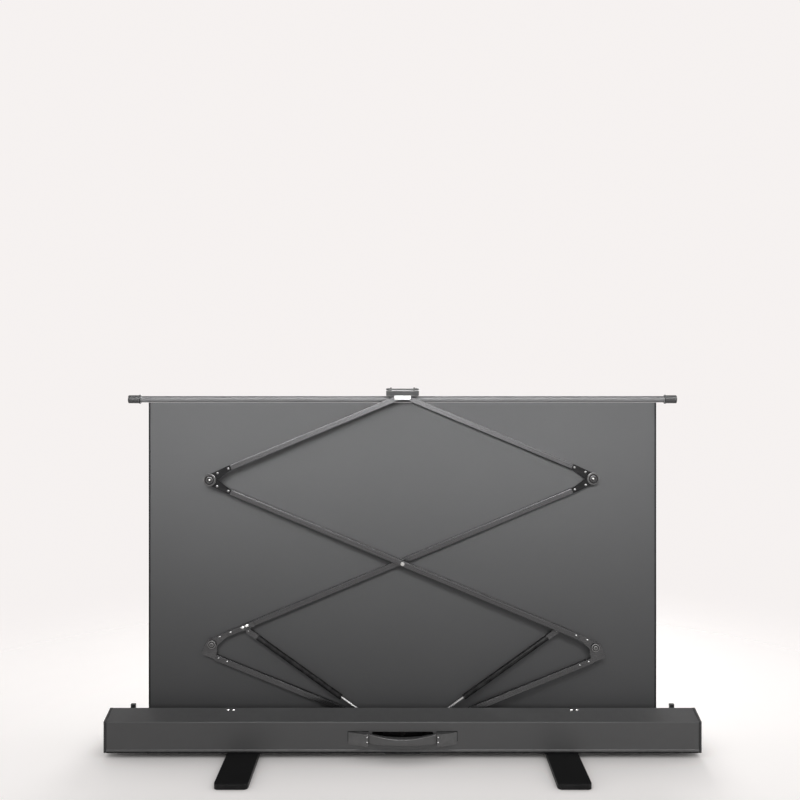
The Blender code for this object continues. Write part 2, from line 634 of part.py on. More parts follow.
def build_spring(side, metal, dark, steel):
    """A gas spring with its clamp and pin. It hangs from the cross arm that starts on its own side."""
    lean = LIFT_ANGLE - math.asin(ELBOW_OFFSET / LINK)
    along = Vector((-side * math.cos(lean), 0, math.sin(lean)))
    across = Vector((side * math.sin(lean), 0, math.cos(lean)))
    elbow = Vector((side * STEP_X, 0, BASE_PIVOT_Z + STEP_Z))
    foot = elbow + ELBOW_OFFSET * across + EYE_ALONG * along
    eye = foot - EYE_BELOW * across
    name = side_name(side)
    face = 1 if side < 0 else -1
    half_eye = SPRING_EYE_THICK / 2
    arm_face = layer_of(side) - face * (HALF_ARM + GAP)
    clamp_face = arm_face - face * CLAMP_THICK

    hole = circle(SPRING_PIN_RADIUS + RUN, (0, 0), 12)
    half = CLAMP_LENGTH / 2
    drop = EYE_BELOW - ARM_WIDTH / 2
    outline = arc(SPRING_EYE, 180, 360) + [
        (SPRING_EYE, drop), (half, drop), (half, drop + ARM_WIDTH), (-half, drop + ARM_WIDTH), (-half, drop),
        (-SPRING_EYE, drop),
    ]
    clamp = extruded([outline, hole], *sorted((arm_face, clamp_face)), "xz")
    place = (eye.x, 0, eye.z)
    as_object(f"{name}_spring_clamp", clamp, metal, None, place, side * lean)

    ends = sorted((arm_face - face * GAP, SPRING_Y - face * (half_eye + GAP)))
    heads = (-0.001, 0) if face > 0 else (0, 0.001)
    far = ends[0] if face > 0 else ends[1]
    pin = solid_profile((SPRING_PIN_RADIUS, *ends))
    head = solid_profile((SPRING_EYE * 0.8, far + heads[0], far + heads[1]))
    piece = as_object(f"{name}_spring_pin", turned(pin, count=12), steel, None, place)
    join(piece, turned(head, count=12), f"{name}_spring_pin_head")

    turn = math.pi / 2 - side * (math.pi / 2 + SPRING_SLOPE)
    end = CYLINDER_START + CYLINDER_LENGTH
    profile = [
        (0, SPRING_EYE * 0.8), (SPRING_EYE * 0.6, SPRING_EYE * 0.8), (SPRING_EYE * 0.6, CYLINDER_START),
        (CYLINDER_RADIUS, CYLINDER_START), (CYLINDER_RADIUS, end), (ROD_RADIUS + RUN, end),
        (ROD_RADIUS + RUN, end - BORE_DEPTH), (0, end - BORE_DEPTH),
    ]
    turn = math.atan2(math.sin(SPRING_SLOPE), -side * math.cos(SPRING_SLOPE))
    spring_place = (eye.x, SPRING_Y, eye.z)
    cylinder = as_object(f"{name}_spring_cylinder", turned(profile, "x", 16), dark, None, spring_place, turn)
    ring = extruded([circle(SPRING_EYE), circle(SPRING_PIN_RADIUS + RUN, (0, 0), 12)], -half_eye, half_eye, "xz")
    join(cylinder, ring, f"{name}_cylinder_eye")
    lug = box_outline((SPRING_EYE * 0.8, -SPRING_LUG_HALF), (CYLINDER_START + ROD_RADIUS, SPRING_LUG_HALF))
    join(cylinder, extruded([lug], -half_eye, half_eye, "xz"), f"{name}_cylinder_lug")
    rod = solid_profile((ROD_RADIUS, SPRING_LENGTH - ROD_LENGTH, SPRING_LENGTH - SPRING_EYE * 0.8))
    piece = as_object(f"{name}_spring_rod", turned(rod, "x", 12), steel, None, spring_place, turn)
    ring = extruded(
        [circle(SPRING_EYE, (SPRING_LENGTH, 0)), circle(SPRING_PIN_RADIUS + RUN, (SPRING_LENGTH, 0), 12)],
        -half_eye, half_eye, "xz",
    )
    join(piece, ring, f"{name}_rod_eye")


def build_top(metal, dark, white, steel):
    """The hinge block on the arms' top pin, the bracket that ties it to the top bar, and the pull bail."""
    place = (0, 0, TOP_Z)
    rear = LAYER_NEAR - HALF_ARM
    pin_ends = (BLOCK_REAR, LAYER_FAR + HALF_ARM + BACK_HEAD_THICK / 2)
    as_object("top_pin", turned(solid_profile((TOP_PIN_RADIUS, *pin_ends)), count=16), steel, None, place)

    roof = BLOCK_TOP - TOP_Z - BLOCK_ROOF
    top = BLOCK_TOP - TOP_Z
    web_rear, web_front = LAYER_NEAR + HALF_ARM + 2 * GAP, LAYER_FAR - HALF_ARM - 2 * GAP
    outline = [
        (BLOCK_REAR, -BLOCK_DROP), (rear - 2 * GAP, -BLOCK_DROP), (rear - 2 * GAP, roof), (web_rear, roof),
        (web_rear, -BLOCK_DROP), (web_front, -BLOCK_DROP), (web_front, top), (BLOCK_REAR, top),
    ]
    block = as_object(
        "hinge_block", extruded([outline], -BLOCK_WIDTH / 2, BLOCK_WIDTH / 2, "yz"), white, None, place
    )
    hole = turned(solid_profile((TOP_PIN_RADIUS + RUN, BLOCK_REAR - GAP, web_front + GAP)), count=16)
    cut(block, hole, "top_pin_hole")

    half = TOP_BRACKET_WIDTH / 2
    outer_rear = BLOCK_REAR - GAP - TOP_BRACKET_WALL
    outer_front = BAR_Y + BAR_RADIUS / 2
    path = [
        (outer_rear, BRACKET_TOP - TOP_BRACKET_LIP), (outer_rear, BRACKET_TOP), (outer_front, BRACKET_TOP),
        (outer_front, BAR_Z + BAR_RADIUS + GAP),
    ]
    bracket = as_object(
        "top_bracket", extruded([thick_line(path, TOP_BRACKET_WALL)], -half, half, "yz"), metal
    )
    lug = arc(LUG_HALF, 0, 180, (BAIL_Y, BAIL_Z)) + [
        (BAIL_Y - LUG_HALF, BRACKET_TOP - TOP_BRACKET_WALL / 2), (BAIL_Y + LUG_HALF, BRACKET_TOP - TOP_BRACKET_WALL / 2),
    ]
    bore = circle(BAIL_RADIUS + RUN, (BAIL_Y, BAIL_Z), 12)
    tip = BAIL_WIDTH / 2 - BAIL_TIP
    for side in (-1, 1):
        ends = sorted((side * (tip + GAP), side * (tip + GAP + LUG_WIDTH)))
        join(bracket, extruded([lug, bore], *ends, "yz"), f"{side_name(side)}_bail_lug")

    edge = BAIL_WIDTH / 2
    bend = 3 * BAIL_RADIUS
    path = [(tip, 0), (edge - bend, 0)]
    path += arc(bend, 270, 360, (edge - bend, bend), 4)
    path += arc(bend, 0, 90, (edge - bend, BAIL_REACH - bend), 4)
    path = [(x, -y, 0) for x, y in path]
    path += [(-x, y, z) for x, y, z in reversed(path)]
    as_object("pull_bail", swept(path, [BAIL_RADIUS] * len(path), 10), steel, None, (0, BAIL_Y, BAIL_Z))

    bar = ring_profile(BAR_BORE, BAR_RADIUS, -BAR_HALF, BAR_HALF)
    bar_place = (0, BAR_Y, BAR_Z)
    as_object("top_bar", turned(bar, "x", 24, closed=True), metal, None, bar_place)
    for side in (-1, 1):
        start = BAR_HALF + GAP
        steps = [
            (BAR_BORE - GAP, start - BAR_PLUG, start), (BAR_FLANGE_RADIUS, start, start + BAR_FLANGE_THICK),
            (BAR_CAP_RADIUS, start + BAR_FLANGE_THICK, BAR_LENGTH / 2),
        ]
        profile = [(r, side * a) for r, a in solid_profile(*steps)]
        as_object(f"{side_name(side)}_bar_cap", turned(profile, "x", 24), dark, None, bar_place)


def build_screen(cloth, metal, steel):
    """The fabric, the roller that it is wound on, and the fixed shaft and brackets that carry the roller."""
    half = FABRIC_WIDTH / 2
    depths = (FABRIC_Y - FABRIC_THICK / 2, FABRIC_Y + FABRIC_THICK / 2)
    top = BAR_Z - BAR_RADIUS - GAP
    as_object("screen_fabric", extruded([box_outline((-half, FABRIC_FOOT_Z), (half, top))], *depths, "xz"), cloth)

    place = (0, ROLLER_Y, ROLLER_Z)
    wound = ring_profile(ROLLER_RADIUS + GAP, WOUND_RADIUS, -half, half)
    as_object("wound_fabric", turned(wound, "x", 24, closed=True), cloth, None, place)
    roller_half = ROLLER_BRACKET_X - ROLLER_END_GAP
    roller = ring_profile(SHAFT_RADIUS + RUN, ROLLER_RADIUS, -roller_half, roller_half)
    as_object("roller_tube", turned(roller, "x", 24, closed=True), metal, None, place)
    outer = ROLLER_BRACKET_X + ROLLER_BRACKET_THICK
    shaft = solid_profile((SHAFT_RADIUS, -outer, outer))
    as_object("roller_shaft", turned(shaft, "x", 16), steel, None, place)
    for side in (-1, 1):
        outline = arc(ROLLER_BRACKET_HALF, 0, 180, (ROLLER_Y, ROLLER_Z)) + [
            (ROLLER_Y - ROLLER_BRACKET_HALF, BOTTOM_HIGH + GAP), (ROLLER_Y + ROLLER_BRACKET_HALF, BOTTOM_HIGH + GAP),
        ]
        hole = circle(SHAFT_RADIUS + GAP, (ROLLER_Y, ROLLER_Z), 16)
        ends = sorted((side * ROLLER_BRACKET_X, side * outer))
        as_object(f"{side_name(side)}_roller_bracket", extruded([outline, hole], *ends, "yz"), metal)


def main():
    clear_scene()
    case_grey = finish("case_grey", (0.075, 0.076, 0.079), 0.42, 0.6)
    arm_grey = finish("arm_grey", (0.11, 0.11, 0.115), 0.35, 0.8)
    black = finish("black_plastic", (0.012, 0.012, 0.013), 0.5, 0.0)
    rubber = finish("black_rubber", (0.010, 0.010, 0.010), 0.8, 0.0)
    steel = finish("bright_steel", (0.62, 0.62, 0.62), 0.25, 1.0)
    white = finish("white_plastic", (0.75, 0.75, 0.74), 0.45, 0.0)
    cloth = finish("screen_cloth", (0.055, 0.055, 0.057), 0.9, 0.0)
    build_case(case_grey, black, rubber)
    build_feet(black, steel)
    build_carry_handle(case_grey)
    for chain in (-1, 1):
        build_chain(chain, arm_grey, black, steel)
        build_spring(chain, arm_grey, black, steel)
    build_base(arm_grey, steel)
    build_centre(steel)
    build_top(arm_grey, black, white, steel)
    build_screen(cloth, arm_grey, steel)


main()
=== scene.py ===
"""Looks for a pull-up projection screen that stands half raised, seen from behind.

Metres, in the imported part's own frame: +X along the case, +Z up, -Y the back with the lifting arms.
"""

import json
import math

import bmesh
import bpy
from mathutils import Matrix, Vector

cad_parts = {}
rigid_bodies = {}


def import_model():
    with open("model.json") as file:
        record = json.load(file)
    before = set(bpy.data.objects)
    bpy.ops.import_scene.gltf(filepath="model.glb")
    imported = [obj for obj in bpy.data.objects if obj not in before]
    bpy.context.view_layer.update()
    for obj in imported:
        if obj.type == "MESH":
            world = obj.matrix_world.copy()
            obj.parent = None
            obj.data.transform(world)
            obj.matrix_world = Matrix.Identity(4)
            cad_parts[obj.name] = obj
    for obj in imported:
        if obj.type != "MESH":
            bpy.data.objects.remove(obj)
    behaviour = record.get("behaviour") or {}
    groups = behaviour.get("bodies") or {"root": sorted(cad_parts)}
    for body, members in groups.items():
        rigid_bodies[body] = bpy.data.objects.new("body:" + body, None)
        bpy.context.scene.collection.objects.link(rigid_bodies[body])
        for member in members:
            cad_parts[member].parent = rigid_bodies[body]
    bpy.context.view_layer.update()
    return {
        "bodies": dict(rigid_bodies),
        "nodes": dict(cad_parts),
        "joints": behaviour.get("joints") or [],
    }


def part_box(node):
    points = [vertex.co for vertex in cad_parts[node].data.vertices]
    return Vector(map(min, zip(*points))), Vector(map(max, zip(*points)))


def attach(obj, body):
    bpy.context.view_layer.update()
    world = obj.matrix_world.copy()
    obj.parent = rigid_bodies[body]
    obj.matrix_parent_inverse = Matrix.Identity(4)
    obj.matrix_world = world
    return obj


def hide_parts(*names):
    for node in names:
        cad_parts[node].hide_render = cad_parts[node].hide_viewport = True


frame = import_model()
nodes = frame["nodes"]
joints = {joint["name"]: joint for joint in frame["joints"]}

FABRIC_LOW, FABRIC_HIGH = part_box("screen_fabric")
REAR_LOW, REAR_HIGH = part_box("case_rear_shell")
FRONT_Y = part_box("case_front_shell")[1].y
SIDES = (("left", -1), ("right", 1))
OTHER = {"left": "right", "right": "left"}
BACK = Vector((0, -1, 0))

# How far the arms' tubes and the gas springs lean from level, as the screen stands
ARM_LEAN = math.radians(22.6)
LOWER_LEAN = math.radians(22.12)
SPRING_SLOPE = math.radians(35.7)


def both(*kinds):
    """The names of the left and the right node of each kind."""
    return [f"{side}_{kind}" for kind in kinds for side, _ in SIDES]


def grey(level, blue=None):
    """A grey, whose blue may differ a little."""
    return (level, level, level if blue is None else blue)


# Shader nodes


def feed(tree, socket, value):
    """Sets a socket to a number, or links another socket to it."""
    if isinstance(value, (int, float)):
        socket.default_value = value
    else:
        tree.links.new(value, socket)


def math_node(tree, operation, first, second, clamp=False):
    node = tree.nodes.new("ShaderNodeMath")
    node.operation = operation
    node.use_clamp = clamp
    feed(tree, node.inputs[0], first)
    feed(tree, node.inputs[1], second)
    return node.outputs[0]


def plus(tree, first, second):
    return math_node(tree, "ADD", first, second)


def times(tree, first, second):
    return math_node(tree, "MULTIPLY", first, second)


def about_middle(tree, value):
    """A value that runs from 0 to 1, as a swing about zero."""
    return math_node(tree, "SUBTRACT", value, 0.5)


def noise(tree, vector, scale, detail=3.0, roughness=0.55):
    node = tree.nodes.new("ShaderNodeTexNoise")
    tree.links.new(vector, node.inputs["Vector"])
    feed(tree, node.inputs["Scale"], scale)
    node.inputs["Detail"].default_value = detail
    node.inputs["Roughness"].default_value = roughness
    return node.outputs[0]


def stretched(tree, vector, scale):
    node = tree.nodes.new("ShaderNodeMapping")
    tree.links.new(vector, node.inputs["Vector"])
    node.inputs["Scale"].default_value = scale
    return node.outputs["Vector"]


def mixed(tree, share, first, second):
    """A colour between two colours, either of which may be a socket."""
    node = tree.nodes.new("ShaderNodeMix")
    node.data_type = "RGBA"
    tree.links.new(share, node.inputs["Factor"])
    for label, value in (("A", first), ("B", second)):
        target = next(s for s in node.inputs if s.name == label and s.type == "RGBA")
        if hasattr(value, "links"):
            tree.links.new(value, target)
        else:
            target.default_value = (*value, 1)
    return next(s for s in node.outputs if s.type == "RGBA")


def ramp(tree, value, low, high):
    """Runs from 0 to 1 while a value runs from low to high."""
    node = tree.nodes.new("ShaderNodeMapRange")
    node.clamp = True
    tree.links.new(value, node.inputs["Value"])
    node.inputs["From Min"].default_value = low
    node.inputs["From Max"].default_value = high
    return node.outputs["Result"]


def varied(tree, colour, swing, amount):
    """A colour that a swing about zero makes lighter and darker by an amount."""
    node = tree.nodes.new("ShaderNodeVectorMath")
    node.operation = "SCALE"
    tree.links.new(colour, node.inputs[0])
    tree.links.new(plus(tree, times(tree, swing, amount), 1.0), node.inputs["Scale"])
    return node.outputs[0]


# Shared effects


def new_group(name, inputs, outputs):
    """A shader group with named sockets, what its first node gives, and its last node.

    An input is a vector of three, a colour of four or a number, as its value is. An output named Colour is a
    colour, and any other is a number.
    """
    tree = bpy.data.node_groups.new(name, "ShaderNodeTree")
    kinds = {3: "NodeSocketVector", 4: "NodeSocketColor"}
    for label, value in inputs.items():
        kind = "NodeSocketFloat" if isinstance(value, float) else kinds[len(value)]
        tree.interface.new_socket(label, in_out="INPUT", socket_type=kind).default_value = value
    for label in outputs:
        kind = "NodeSocketColor" if label == "Colour" else "NodeSocketFloat"
        tree.interface.new_socket(label, in_out="OUTPUT", socket_type=kind)
    given = tree.nodes.new("NodeGroupInput").outputs
    return tree, given, tree.nodes.new("NodeGroupOutput")


def make_powder_coat():
    """Fine pebbled paint: a colour that drifts a little, pebbles for the bump and a roughness that drifts."""
    inputs = {
        "Vector": (0, 0, 0),
        "Colour": (*grey(0.05), 1),
        "Drift": 0.12,
        "Pebble Scale": 900.0,
        "Roughness": 0.45,
    }
    tree, given, end = new_group("powder_coat", inputs, ("Colour", "Roughness", "Pebbles"))
    cloud = about_middle(tree, noise(tree, given["Vector"], 7.0, detail=4.0))
    grains = noise(tree, given["Vector"], given["Pebble Scale"], detail=2.0)
    swing = plus(tree, cloud, times(tree, about_middle(tree, grains), 0.5))
    tree.links.new(varied(tree, given["Colour"], swing, given["Drift"]), end.inputs["Colour"])
    tree.links.new(plus(tree, given["Roughness"], times(tree, cloud, 0.16)), end.inputs["Roughness"])
    tree.links.new(grains, end.inputs["Pebbles"])
    return tree


def make_edge_wear():
    """Where edges are rubbed, from the pointiness of the surface, broken up by noise."""
    tree, given, end = new_group("edge_wear", {"Vector": (0, 0, 0), "Amount": 0.5}, ("Mask",))
    shape = tree.nodes.new("ShaderNodeNewGeometry")
    edge = ramp(tree, shape.outputs["Pointiness"], low=0.52, high=0.62)
    broken = ramp(tree, noise(tree, given["Vector"], 60.0, detail=5.0), low=0.35, high=0.7)
    mask = math_node(tree, "MULTIPLY", times(tree, edge, broken), given["Amount"], clamp=True)
    tree.links.new(mask, end.inputs["Mask"])
    return tree


def make_drawn_grain():
    """Drawing lines along a metal bar: long thin streaks for colour, roughness and bump."""
    inputs = {"Vector": (0, 0, 0), "Colour": (*grey(0.1), 1), "Streaks": 0.2, "Roughness": 0.35}
    tree, given, end = new_group("drawn_grain", inputs, ("Colour", "Roughness", "Lines"))
    lines = noise(tree, stretched(tree, given["Vector"], (6.0, 900.0, 900.0)), 1.0)
    cloud = noise(tree, given["Vector"], 11.0)
    streak = about_middle(tree, lines)
    swing = plus(tree, streak, times(tree, about_middle(tree, cloud), 0.3))
    tree.links.new(varied(tree, given["Colour"], swing, given["Streaks"]), end.inputs["Colour"])
    tree.links.new(plus(tree, given["Roughness"], times(tree, streak, 0.25)), end.inputs["Roughness"])
    tree.links.new(lines, end.inputs["Lines"])
    return tree


def make_coated_weave():
    """A fine plain weave under a coating, from two sets of threads over X and Z."""
    inputs = {"Vector": (0, 0, 0), "Colour": (*grey(0.06), 1), "Threads": 1600.0, "Drift": 0.1}
    tree, given, end = new_group("coated_weave", inputs, ("Colour", "Roughness", "Height"))
    apart = tree.nodes.new("ShaderNodeSeparateXYZ")
    tree.links.new(given["Vector"], apart.inputs[0])
    waves = []
    for axis in ("X", "Z"):
        wave = tree.nodes.new("ShaderNodeMath")
        wave.operation = "SINE"
        tree.links.new(times(tree, apart.outputs[axis], given["Threads"]), wave.inputs[0])
        waves.append(wave.outputs[0])
    height = plus(tree, times(tree, times(tree, *waves), 0.5), 0.5)
    cloud = about_middle(tree, noise(tree, given["Vector"], 3.2, detail=5.0, roughness=0.6))
    fleck = about_middle(tree, noise(tree, given["Vector"], 420.0, detail=2.0))
    swing = plus(tree, cloud, times(tree, fleck, 0.6))
    swing = plus(tree, swing, times(tree, about_middle(tree, height), 0.5))
    tree.links.new(varied(tree, given["Colour"], swing, given["Drift"]), end.inputs["Colour"])
    tree.links.new(plus(tree, 0.82, times(tree, cloud, 0.2)), end.inputs["Roughness"])
    tree.links.new(height, end.inputs["Height"])
    return tree


POWDER_COAT = make_powder_coat()
EDGE_WEAR = make_edge_wear()
DRAWN_GRAIN = make_drawn_grain()
COATED_WEAVE = make_coated_weave()


# Finishes


PEBBLE_DEPTH = 0.0003
LINE_DEPTH = 0.0002
THREAD_DEPTH = 0.0002
THREADS = 2600.0  # of the waves that make the weave, in radians a metre


def new_finish(name):
    """A material, its nodes, its shader and the place of a point in the object."""
    material = bpy.data.materials.new(name)
    material.use_nodes = True
    tree = material.node_tree
    place = tree.nodes.new("ShaderNodeTexCoord").outputs["Object"]
    return material, tree, tree.nodes["Principled BSDF"], place


def placed(tree, group, vector, **values):
    """The output sockets of a shared group in a material, with its own values."""
    node = tree.nodes.new("ShaderNodeGroup")
    node.node_tree = group
    tree.links.new(vector, node.inputs["Vector"])
    for label, value in values.items():
        node.inputs[label.replace("_", " ")].default_value = value
    return node.outputs


def bumped(tree, shader, height, strength, distance):
    bump = tree.nodes.new("ShaderNodeBump")
    bump.inputs["Strength"].default_value = strength
    bump.inputs["Distance"].default_value = distance
    tree.links.new(height, bump.inputs["Height"])
    tree.links.new(bump.outputs["Normal"], shader.inputs["Normal"])


def rubbed(tree, shader, place, effect, wear, worn, metallic, shine):
    """Gives a shader an effect's colour and roughness, with edges that are rubbed to a grey."""
    rub = placed(tree, EDGE_WEAR, place, Amount=wear)
    tree.links.new(mixed(tree, rub["Mask"], effect["Colour"], grey(worn)), shader.inputs["Base Color"])
    tree.links.new(effect["Roughness"], shader.inputs["Roughness"])
    shader.inputs["Metallic"].default_value = metallic
    shader.inputs["Specular IOR Level"].default_value = shine


def coated_finish(
    name, colour, roughness, wear, worn, pebbles=900.0, metallic=0.0, drift=0.12, bump=0.25, shine=0.5
):
    """Pebbled paint or moulded plastic with rubbed edges."""
    material, tree, shader, place = new_finish(name)
    coat = placed(
        tree, POWDER_COAT, place, Colour=(*colour, 1), Drift=drift, Pebble_Scale=pebbles, Roughness=roughness
    )
    rubbed(tree, shader, place, coat, wear, worn, metallic, shine)
    bumped(tree, shader, coat["Pebbles"], bump, PEBBLE_DEPTH)
    return material


def drawn_finish(
    name, colour, roughness, metallic, wear, worn, turn=0.0, streaks=0.12, bump=0.12, shine=0.5
):
    """Drawn metal whose lines run along a bar that leans by turn about Y."""
    material, tree, shader, place = new_finish(name)
    level = tree.nodes.new("ShaderNodeMapping")
    level.inputs["Rotation"].default_value = (0, turn, 0)
    tree.links.new(place, level.inputs["Vector"])
    along = level.outputs["Vector"]
    grain = placed(tree, DRAWN_GRAIN, along, Colour=(*colour, 1), Streaks=streaks, Roughness=roughness)
    rubbed(tree, shader, place, grain, wear, worn, metallic, shine)
    bumped(tree, shader, grain["Lines"], bump, LINE_DEPTH)
    return material


def cloth_finish(name, colour, drift, sheen):
    """Coated cloth with a dull face."""
    material, tree, shader, place = new_finish(name)
    weave = placed(tree, COATED_WEAVE, place, Colour=(*colour, 1), Threads=THREADS, Drift=drift)
    tree.links.new(weave["Colour"], shader.inputs["Base Color"])
    tree.links.new(weave["Roughness"], shader.inputs["Roughness"])
    shader.inputs["Sheen Weight"].default_value = sheen
    shader.inputs["Sheen Roughness"].default_value = 0.5
    shader.inputs["Specular IOR Level"].default_value = 0.1
    bumped(tree, shader, weave["Height"], 0.2, THREAD_DEPTH)
    return material


CASE_PAINT = coated_finish(
    "case_paint", grey(0.138, 0.139), roughness=0.36, wear=0.25, worn=0.26, drift=0.05, shine=0.2
)
CAP_PLASTIC = coated_finish(
    "end_cap_plastic", grey(0.040, 0.041), roughness=0.5, wear=0.12, worn=0.14,
    pebbles=600.0, drift=0.06, bump=0.08, shine=0.3,
)
HANDLE_PLASTIC = coated_finish(
    "handle_plastic", grey(0.105, 0.106), roughness=0.2, wear=0.3, worn=0.35,
    pebbles=700.0, drift=0.05, shine=0.6,
)
FOOT_PAINT = coated_finish(
    "foot_paint", grey(0.005, 0.0055), roughness=0.42, wear=0.6, worn=0.09, pebbles=800.0, shine=0.15
)
PAD_RUBBER = coated_finish(
    "pad_rubber", (0.030, 0.033, 0.035), roughness=0.75, wear=0.2, worn=0.06, pebbles=500.0
)
BRACKET_PAINT = coated_finish(
    "bracket_paint", grey(0.006, 0.0065), roughness=0.4, wear=0.12, worn=0.1,
    pebbles=800.0, bump=0.1, shine=0.1,
)
SPRING_PAINT = coated_finish(
    "spring_paint", grey(0.004, 0.0045), roughness=0.25, wear=0.3, worn=0.1,
    pebbles=300.0, bump=0.05, shine=0.15,
)
HINGE_PLASTIC = coated_finish(
    "hinge_plastic", grey(0.86, 0.85), roughness=0.42, wear=0.2, worn=0.6, pebbles=600.0, drift=0.05
)
BAR_PAINT = coated_finish(
    "bar_paint", grey(0.150, 0.152), roughness=0.5, wear=0.0, worn=0.3,
    metallic=0.1, drift=0.03, bump=0.02, shine=0.1,
)
COVER_PLASTIC = coated_finish(
    "elbow_cover_plastic", grey(0.008, 0.009), roughness=0.2, wear=0.3, worn=0.2, pebbles=500.0, bump=0.05
)
ARM_METAL = {
    label: drawn_finish(
        f"arm_metal_{label}", grey(0.070, 0.072), roughness=0.27, metallic=0.75, wear=0.12, worn=0.3,
        turn=turn, streaks=0.1, bump=0.05,
    )
    for label, turn in (("rising", ARM_LEAN), ("falling", -ARM_LEAN), ("level", 0.0))
}
BRACKET_METAL = drawn_finish(
    "top_bracket_metal", grey(0.045), roughness=0.5, metallic=0.1, wear=0.1, worn=0.2, streaks=0.1, shine=0.1
)
BAIL_METAL = drawn_finish(
    "bail_metal", grey(0.06), roughness=0.45, metallic=0.3, wear=0.2, worn=0.3, streaks=0.1, shine=0.2
)
STEEL = drawn_finish(
    "bright_steel", grey(0.50, 0.49), roughness=0.24, metallic=1.0, wear=0.2, worn=0.65
)
ROD_STEEL = drawn_finish("rod_steel", grey(0.26), roughness=0.3, metallic=1.0, wear=0.2, worn=0.4)
DARK_STEEL = drawn_finish(
    "dark_steel", grey(0.075), roughness=0.3, metallic=1.0, wear=0.4, worn=0.3, streaks=0.15
)
RIVET_STEEL = drawn_finish("rivet_steel", grey(0.17), roughness=0.36, metallic=1.0, wear=0.3, worn=0.7)
CLOTH_BACK = cloth_finish("cloth_back", grey(0.105, 0.107), drift=0.14, sheen=0.05)
CLOTH_FRONT = cloth_finish("cloth_front", grey(0.78, 0.77), drift=0.03, sheen=0.0)
CLOTH_BORDER = cloth_finish("cloth_border", grey(0.012, 0.013), drift=0.14, sheen=0.05)


# Dressing the solids


JOIN_REACH = 0.00001
BEVEL_FROM = math.radians(40)  # edges that turn less stay as they are


def dress(material, names):
    for name in names:
        finishes = nodes[name].data.materials
        finishes.clear()
        finishes.append(material)


def join_triangles(node):
    weld = node.modifiers.new("joined", "WELD")
    weld.merge_threshold = JOIN_REACH


def soften(names, width, segments=2):
    """Rounds a solid's edges, once its loose triangles are joined."""
    for name in names:
        join_triangles(nodes[name])
        bevel = nodes[name].modifiers.new("rounded_edges", "BEVEL")
        bevel.width = width
        bevel.segments = segments
        bevel.limit_method = "ANGLE"
        bevel.angle_limit = BEVEL_FROM
        bevel.harden_normals = False


def shade_round(names):
    """Shades the flat sides of a round solid as one curve, once its loose triangles are joined."""
    for name in names:
        join_triangles(nodes[name])
        normal = nodes[name].modifiers.new("round_shading", "WEIGHTED_NORMAL")
        normal.mode = "FACE_AREA"
        normal.weight = 100


# Camera, light and stage


# The photograph's side and focal length, and how far its middle is under the horizon, in its own pixels
PHOTO_SIDE = 800
PHOTO_FOCAL = 838
PHOTO_DROP = 37
SENSOR = 36
CAMERA_PLACE = (-0.0065, -2.168, 0.99)

FLOOR_DARKER, FLOOR_PALER = (0.56, 0.54, 0.53), (0.59, 0.575, 0.56)
FLOOR_TINT = (0.80, 0.775, 0.765)  # of the floor's glow
FLOOR_GLOW = 0.70  # for the camera and in gloss, never as light on the screen
FLOOR_REACH = 6  # from the middle to each side
SHADE_REACH = 0.30  # the floor's glow carries a painted shadow where something stands nearer than this
FADE_FROM, FADE_TO = 0.35, 1.9  # how far out the floor begins to fade, and is gone
FADE_SQUEEZE = (0.75, 1.0, 0.0)  # the fade reaches further along X
BACKDROP = (0.92, 0.885, 0.875)
WORLD_LIGHT = grey(0.05)

# Each lamp's name, place, aim, width and height, power in watts and spread in degrees
LAMPS = (
    ("key", (-0.1, -1.25, 1.22), (0.0, 0.0, 0.84), (2.2, 0.3), 7.5, 62),
    ("fill", (0.3, -3.0, 0.95), (0.0, 0.0, 0.3), (2.6, 0.8), 21, 180),
    ("edge_strip", (0.2, -1.3, 2.2), (0.0, 0.0, 0.4), (2.8, 0.4), 140, 180),
    ("front", (0.4, 2.9, 1.4), (0.0, 0.0, 0.5), (1.8, 1.4), 68, 180),
    ("left_side", (-2.7, 0.25, 0.5), (-0.7, 0.0, 0.3), (1.2, 1.2), 22, 180),
    ("right_side", (2.7, 0.25, 0.5), (0.7, 0.0, 0.3), (1.2, 1.2), 22, 180),
)


def add(name, data):
    """A new object in the scene."""
    made = bpy.data.objects.new(name, data)
    bpy.context.scene.collection.objects.link(made)
    return made


def seen_directly(tree):
    """One where the camera sees a surface, itself or in a gloss, and nothing where it only sends light."""
    path = tree.nodes.new("ShaderNodeLightPath").outputs
    seen = math_node(tree, "MAXIMUM", path["Is Camera Ray"], path["Is Glossy Ray"])
    return math_node(tree, "MAXIMUM", seen, path["Is Transmission Ray"])


def make_camera():
    """A level camera where the photograph was taken from."""
    camera = add("camera", bpy.data.cameras.new("camera"))
    camera.location = CAMERA_PLACE
    camera.rotation_euler = (math.radians(90), 0, 0)
    camera.data.sensor_width = SENSOR
    camera.data.lens = PHOTO_FOCAL / PHOTO_SIDE * SENSOR
    camera.data.shift_y = -PHOTO_DROP / PHOTO_SIDE
    camera.data.clip_start = 0.05
    bpy.context.scene.camera = camera


